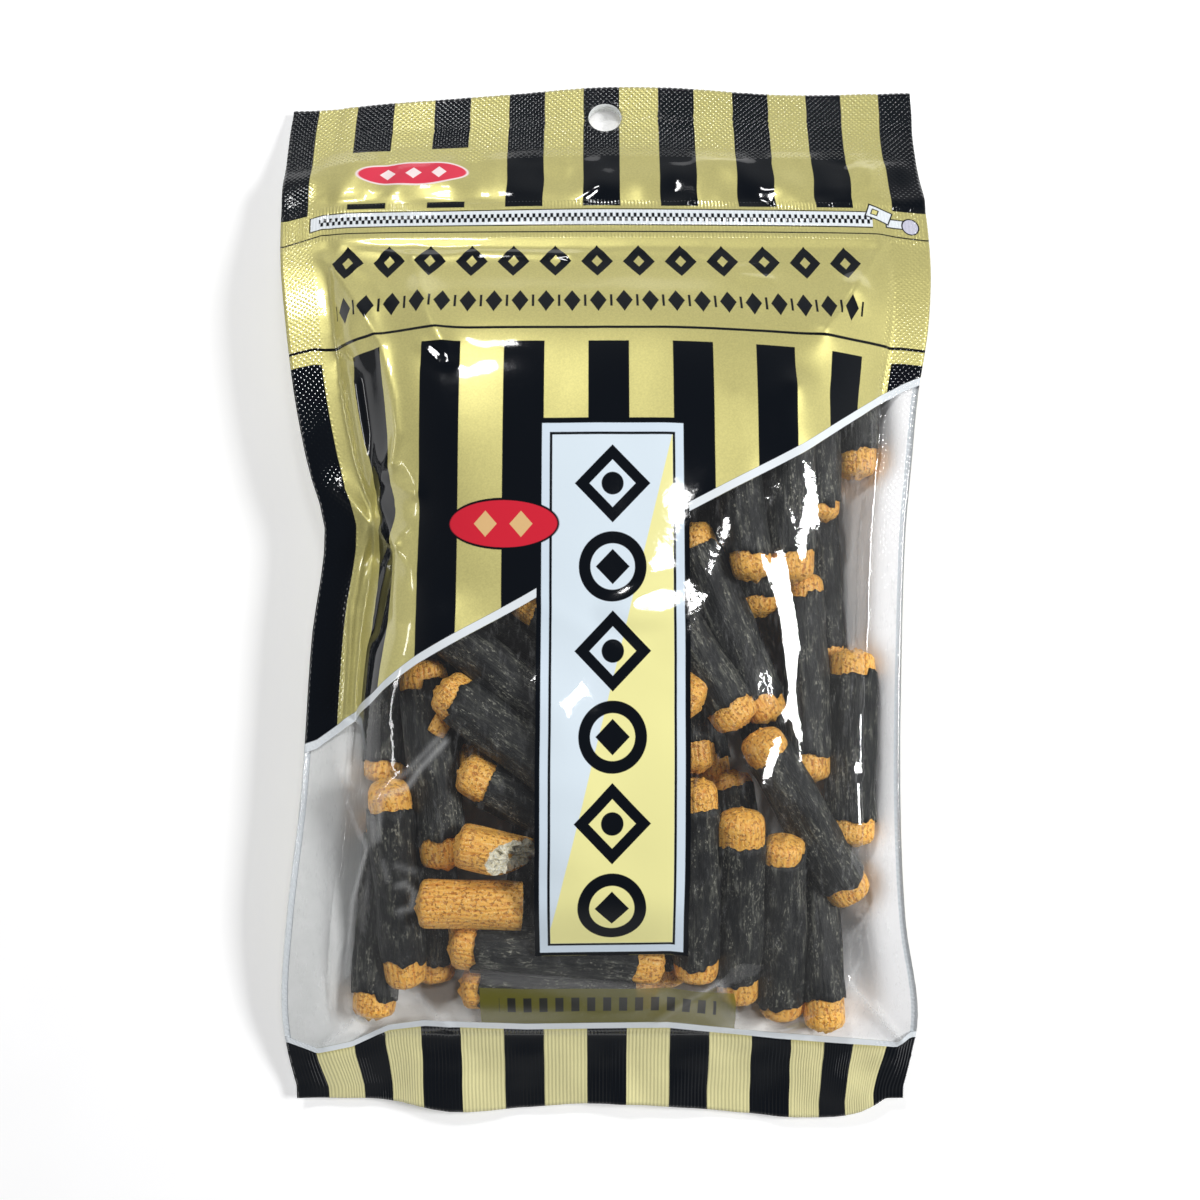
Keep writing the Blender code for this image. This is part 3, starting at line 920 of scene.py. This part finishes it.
envelope = sheet(front_points, True)
add_to(envelope, sheet(back_points, False))
for near_hole in (True, False):
    rims = [edge for edge in envelope.edges if edge.is_boundary]
    rims = [edge for edge in rims if ((edge.verts[0].co.xy / MM - HOLE_AT).length < 6.0) == near_hole]
    for face in bmesh.ops.bridge_loops(envelope, edges=rims)["faces"]:
        face.material_index = 2
bmesh.ops.recalc_face_normals(envelope, faces=envelope.faces)

# Print, in millimetres on the flat film: u from its centre line to the right, v up from its foot.
# Each shape is 1 on it and 0 off it, and each colour goes over what is printed before it.
EDGE = 0.09
STRIPE_PERIOD = 16.45
STRIPE_HALF = 3.95
GOLD = colour(216, 208, 136)
INK = colour(9, 14, 20)
WHITE = colour(228, 234, 238)


def between(value, low, high):
    """1 where the value lies between low and high, with a soft edge."""
    return value.rising(low - EDGE, low + EDGE) * value.falling(high - EDGE, high + EDGE)


def line_at(value, middle, width):
    return abs(value - middle).falling(0.5 * width - EDGE, 0.5 * width + EDGE)


def lozenge(across, up, half_width, half_height):
    """A rhombus round the place where across and up are 0."""
    size = abs(across) * (1.0 / half_width) + abs(up) * (1.0 / half_height)
    return size.falling(1.0 - EDGE / half_width, 1.0 + EDGE / half_width)


def oval(across, up, half_width, half_height):
    size = ((across * (1.0 / half_width)).math("POWER", 2.0) + (up * (1.0 / half_height)).math("POWER", 2.0)).math("SQRT")
    return size.falling(1.0 - EDGE / half_height, 1.0 + EDGE / half_height)


def folded(value, period):
    """The value's distance from the nearest multiple of the period, signed."""
    return value.math("WRAP", 0.5 * period, -0.5 * period)


def either(*shapes):
    result = shapes[0]
    for shape in shapes[1:]:
        result = result.math("MAXIMUM", shape)
    return result


def film_place(paint, is_front):
    """The flat place on a film from its UV map: u and v in millimetres."""
    flat_place = paint.node("UVMap", {"uv_map": "OFBake"})
    across, up = (Wire(paint, paint_output) for paint_output in
                  list(paint.node("SeparateXYZ", None, {"Vector": flat_place}).socket.node.outputs)[:2])
    share = across * 2.0 - 0.5 if is_front else 1.5 - across * 2.0
    return share * FILM_WIDTH, up * FILM_LENGTH


def embossing(u, v):
    """The press marks: a fine knurl in the header and side seals, ribs in the strip and the foot seal."""
    knurl = abs(((u + v) * 2.6).math("SINE") * ((u - v) * 2.6).math("SINE")).math("POWER", 2.5)
    in_knurl = either(v.rising(199.6, 200.6), abs(u + 1.2).rising(59.6, 60.4) * v.rising(15.0, 16.0) * 0.45)
    ribs = (u * 8.6).math("SINE") * 0.5 + 0.5
    in_ribs = either(between(v, 177.8, 187.2) * 0.55, v.falling(15.0, 15.8))
    return knurl * in_knurl + ribs * in_ribs


def mirror_share(paint, relief):
    """How much a thin film mirrors, seen from either side: little face on, and all at a glance."""
    facing = paint.node("LayerWeight", None, {"Blend": 0.5, "Normal": relief}, 1)
    return facing.math("POWER", 5.0) * 0.92 + 0.055


def laminate(paint, printed, metal, u, v):
    """Shiny printed film: a satin metal or ink under a clear gloss that the press marks break up."""
    satin = paint.noise(paint.stretched(paint.node("TexCoord", None, None, 3), 1.0, 1.0, 0.6), 260.0, 3.0, 0.6)
    relief = paint.bump(embossing(u, v) * 0.8 + satin * 0.22, 0.16 * MM, 0.8)
    body = {
        "Base Color": printed,
        "Metallic": metal,
        "Roughness": 0.42,
        "Specular IOR Level": 0.0,
        "Normal": relief,
    }
    under = paint.node("BsdfPrincipled", None, body)
    gloss = paint.node("BsdfGlossy", None, {"Color": (1.0, 1.0, 1.0, 1.0), "Roughness": 0.06, "Normal": relief})
    return paint.node("MixShader", None, {0: mirror_share(paint, relief), 1: under, 2: gloss})


def gold_grain(paint, base):
    """The metallic ink's fine grain."""
    grain = paint.noise(paint.node("TexCoord", None, None, 3), 2600.0, 2.0, 0.7)
    return paint.mix(grain.rising(0.25, 0.75), tuple(0.86 * part for part in base[:3]) + (1.0,), base)


paint = Paint("front_film")
u, v = film_place(paint, True)
header = v.rising(160.0, 180.0)
stripe = abs(folded(u + header * 0.7, STRIPE_PERIOD)).falling(STRIPE_HALF - EDGE, STRIPE_HALF + EDGE)
crest_clear = between(u, -58.0, -25.0) * between(v, 187.6, 204.6)
striped = either(v.falling(149.1 - EDGE, 149.1 + EDGE), v.rising(186.0 - EDGE, 186.0 + EDGE) * (1.0 - crest_clear))
tint = gold_grain(paint, GOLD)
# The foot seal's gold is painted paler here: a painted highlight.
tint = paint.mix(v.falling(14.0, 16.5) * 0.7, tint, colour(244, 238, 184))
ink = stripe * striped
printed = paint.mix(ink, tint, INK)
metal = 1.0 - ink

# The window: clear film below a slanting white border, down to a white line over the foot.
over_border = v - (u * 0.541 + 109.9 + u.falling(-60.0, -44.0) * 5.0)
window = over_border.falling(-EDGE, EDGE) * v.rising(16.9 - EDGE, 16.9 + EDGE)
border = either(line_at(over_border, -0.9, 1.7) * v.rising(16.9, 17.0), line_at(v, 16.4, 1.5))
printed = paint.mix(border, printed, WHITE)
metal = metal * (1.0 - border)
clear = window * (1.0 - border)

# The band between the two rules, with two rows of plain ornament.
rules = either(line_at(v, 179.3, 0.35), line_at(v, 152.2, 0.6))
along_row = u + 2.0
first_row = lozenge(folded(along_row, 8.6), v - 171.6, 3.3, 4.4) * (1.0 - lozenge(folded(along_row, 8.6), v - 171.6, 1.1, 1.5))
second_row = either(
    lozenge(folded(along_row, 5.2), v - 159.3, 1.7, 3.1),
    line_at(folded(along_row + 2.6, 5.2), 0.0, 0.5) * between(v, 157.6, 161.0),
)
rows = either(first_row * between(u, -58.0, 53.4), second_row * between(u, -56.6, 53.0))

# The drawn slide fastener: a pale tape with two rows of dark teeth, and its slider at the right.
tape = between(u, -61.8, 56.5) * between(v, 181.3, 184.9)
tape_line = between(u, -62.1, 56.5) * between(v, 181.0, 185.2) * (1.0 - tape)
TOOTH = 1.25
upper_teeth = line_at(folded(u, TOOTH), 0.0, 0.62) * between(v, 182.95, 184.0)
lower_teeth = line_at(folded(u + 0.5 * TOOTH, TOOTH), 0.0, 0.62) * between(v, 182.0, 183.05)
teeth = either(upper_teeth, lower_teeth) * between(u, -60.0, 56.5)
turn_u, turn_v = math.cos(math.radians(-21.0)), math.sin(math.radians(-21.0))
tab_u = (u - 58.0) * turn_u + (v - 184.6) * turn_v
tab_v = (v - 184.6) * turn_u - (u - 58.0) * turn_v
tab_outline = between(tab_u, -2.75, 2.75) * between(tab_v, -1.75, 1.75)
tab_face = between(tab_u, -2.45, 2.45) * between(tab_v, -1.45, 1.45)
tab_hole_line = between(tab_u, -1.75, -0.15) * between(tab_v, -0.75, 0.9)
tab_hole = between(tab_u, -1.5, -0.4) * between(tab_v, -0.5, 0.65)
slider = between(u, 59.6, 63.6) * between(v, 181.7, 183.5)
slider_line = between(u, 59.3, 63.9) * between(v, 181.4, 183.8)
knob = oval(u - 64.6, v - 182.3, 1.6, 1.75)
knob_line = oval(u - 64.6, v - 182.3, 1.9, 2.05)

# The label, its red oval, the crest's place and the weight's place, all with plain shapes for words.
label = between(u, -13.7, 15.3) * between(v, 35.0, 133.7)
label_rim = between(u, -12.8, 14.3) * between(v, 35.7, 132.7)
label_line = between(u, -11.3, 12.7) * between(v, 37.2, 131.0)
label_face = between(u, -10.8, 12.2) * between(v, 37.7, 130.5)
slant = (u - (v - 41.4) * (22.6 / 88.2) + 10.7).rising(-EDGE, EDGE)
motif_u = u - 0.7
wheel_v = folded(v - 45.4, 30.4)
star_v = folded(v - 60.6, 30.4)
wheel = oval(motif_u, wheel_v, 6.4, 6.4) * (1.0 - oval(motif_u, wheel_v, 4.2, 4.2))
wheel = either(wheel, lozenge(motif_u, wheel_v, 3.2, 3.2))
star = lozenge(motif_u, star_v, 7.2, 7.2) * (1.0 - lozenge(motif_u, star_v, 4.4, 4.4))
star = either(star, oval(motif_u, star_v, 2.1, 2.1))
motifs = either(wheel, star) * between(v, 38.0, 130.0)
oval_rim = oval(u + 20.1, v - 114.1, 10.7, 4.75)
oval_face = oval(u + 20.1, v - 114.1, 10.3, 4.3)
oval_marks = lozenge(abs(u + 20.1) - 3.4, v - 114.1, 2.2, 2.4)
crest_rim = oval(u + 41.0, v - 196.2, 11.6, 4.1)
crest_face = oval(u + 41.0, v - 196.2, 11.1, 3.6)
crest_marks = lozenge(folded(u + 41.0, 5.2), v - 196.2, 1.6, 1.9) * between(u, -49.5, -32.5)
band = between(u, -24.7, 25.4) * between(v, 17.2, 27.0)
band_marks = between(folded(u, 3.1), -0.8, 0.8) * between(v, 20.3, 24.2) * between(u, -21.0, 21.5)

covers = (
    (either(rules, rows), INK),
    (tape_line, INK),
    (tape, WHITE),
    (teeth, INK),
    (slider_line, INK),
    (slider, WHITE),
    (tab_outline, INK),
    (tab_face, WHITE),
    (tab_hole_line, INK),
    (tab_hole, GOLD),
    (knob_line, INK),
    (knob, colour(200, 200, 216)),
    (label, INK),
    (label_rim, colour(214, 228, 240)),
    (label_line, INK),
    (label_face, colour(220, 233, 242)),
    (label_face * slant, colour(243, 238, 165)),
    (label_face * motifs, INK),
    (oval_rim, INK),
    (oval_face, colour(212, 40, 58)),
    (oval_marks, colour(226, 186, 130)),
    (crest_rim, colour(244, 226, 226)),
    (crest_face, colour(222, 62, 84)),
    (crest_marks, colour(250, 232, 232)),
)
for shape, tone in covers:
    printed = paint.mix(shape, printed, tone)
    metal = metal * (1.0 - shape)
clear = clear * (1.0 - either(label, oval_rim))
solid = laminate(paint, printed, metal * (0.5 - v.falling(14.0, 16.5) * 0.38), u, v)

# The clear film: see-through, with a mirror gloss, a faint haze and fine scuffs along its length.
place = paint.node("TexCoord", None, None, 3)
scuffs = paint.noise(paint.stretched(place, 1.0, 0.25, 1.0), 900.0, 4.0, 0.75)
crinkle = paint.noise(place, 170.0, 3.0, 0.55)
# Along the creases the haze is painted whiter: partly stress whitening, partly a painted highlight.
crease_white_and_sheen = Wire(paint, paint.node("Attribute", {"attribute_name": "fold"}).socket.node.outputs[2])
relief = paint.bump(crinkle + embossing(u, v) * 0.3, 0.22 * MM, 0.7)
see_through = paint.node("BsdfTransparent", None, {"Color": (0.97, 0.97, 0.97, 1.0)})
haze = paint.node("BsdfDiffuse", None, {"Color": (0.85, 0.86, 0.86, 1.0)})
gloss = paint.node("BsdfGlossy", None, {"Color": (1.0, 1.0, 1.0, 1.0), "Roughness": 0.07, "Normal": relief})
mirror = mirror_share(paint, relief)
misty = paint.node("MixShader", None, {0: scuffs.rising(0.5, 0.85) * (abs(u + 1.0).rising(46.0, 60.0) * 0.25 + 0.10) + crease_white_and_sheen * 0.38 + 0.012, 1: see_through, 2: haze})
pane = paint.node("MixShader", None, {0: mirror, 1: misty, 2: gloss})

# The weight's band is a thin olive ink on the clear film, darker where its marks are.
olive = paint.mix(band_marks, colour(112, 108, 22), colour(22, 22, 12))
stain = paint.node("BsdfPrincipled", None, {"Base Color": olive, "Roughness": 0.35, "Specular IOR Level": 0.5})
stained = paint.node("MixShader", None, {0: band * (band_marks * 0.2 + 0.7), 1: pane, 2: stain})
front_material = paint.finish(paint.node("MixShader", None, {0: clear, 1: solid, 2: stained}))

paint = Paint("back_film")
u, v = film_place(paint, False)
stripe = abs(folded(u, STRIPE_PERIOD)).falling(STRIPE_HALF - EDGE, STRIPE_HALF + EDGE)
panel = between(u, -44.0, 44.0) * between(v, 60.0, 140.0)
plain = either(panel, between(v, 152.0, 179.0))
ink = stripe * (1.0 - plain)
printed = paint.mix(ink, gold_grain(paint, GOLD), INK)
frame_lines = either(line_at(v, 179.3, 0.35), line_at(v, 152.2, 0.6))
printed = paint.mix(frame_lines, printed, INK)
bare = either(panel, abs(u).rising(66.3, 66.5))
printed = paint.mix(bare, printed, WHITE)
back_material = paint.finish(laminate(paint, printed, (1.0 - either(ink, bare)) * 0.5, u, v))

paint = Paint("film_edge")
pale = {"Base Color": colour(226, 229, 228), "Roughness": 0.45}
edge_material = paint.finish(paint.node("BsdfPrincipled", None, pale))

pouch_film = object_of("pouch_film", envelope, [front_material, back_material, edge_material])
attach(pouch_film, "root")
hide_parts("pouch")

# ---------------------------------------------------------------------------------------------
# Inner face of the back film: the white layer of the laminate, a hair above the back film. It shows
# through the clear window between the sticks and in the seals.

across_it = np.gradient(back_points, axis=1)
along_it = np.gradient(back_points, axis=0)
inward = np.cross(across_it, along_it)
inward /= np.maximum(np.linalg.norm(inward, axis=2, keepdims=True), 1e-9)
lining_points = (back_points + 0.16 * inward)[1:-1, 1:-1]
lining = bmesh.new()
bmesh.ops.create_grid(lining, x_segments=COLUMNS // 2 - 2, y_segments=ROWS // 2 - 2, size=0.5)
for vert in lining.verts:
    column = round((vert.co.x + 0.5) * (COLUMNS // 2 - 2))
    row = round((vert.co.y + 0.5) * (ROWS // 2 - 2))
    vert.co = Vector(lining_points[row, column]) * MM
punch_hole(lining, HOLE_RADIUS + 0.3)
bmesh.ops.recalc_face_normals(lining, faces=lining.faces)
paint = Paint("lining")
place = paint.node("TexCoord", None, None, 3)
rightward = Wire(paint, paint.node("SeparateXYZ", None, {"Vector": place}).socket.node.outputs[0])
shade = paint.mix(paint.noise(place, 300.0, 3.0), colour(222, 225, 223), colour(240, 241, 240))
# Towards the right the lining is painted near white: painted light on that side.
shade = paint.mix(rightward.rising(0.020, 0.055), shade, colour(254, 254, 254))
matt = paint.node("BsdfPrincipled", None, {"Base Color": shade, "Roughness": 0.6})
inner_face = object_of("inner_face", lining, [paint.finish(matt)])
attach(inner_face, "root")
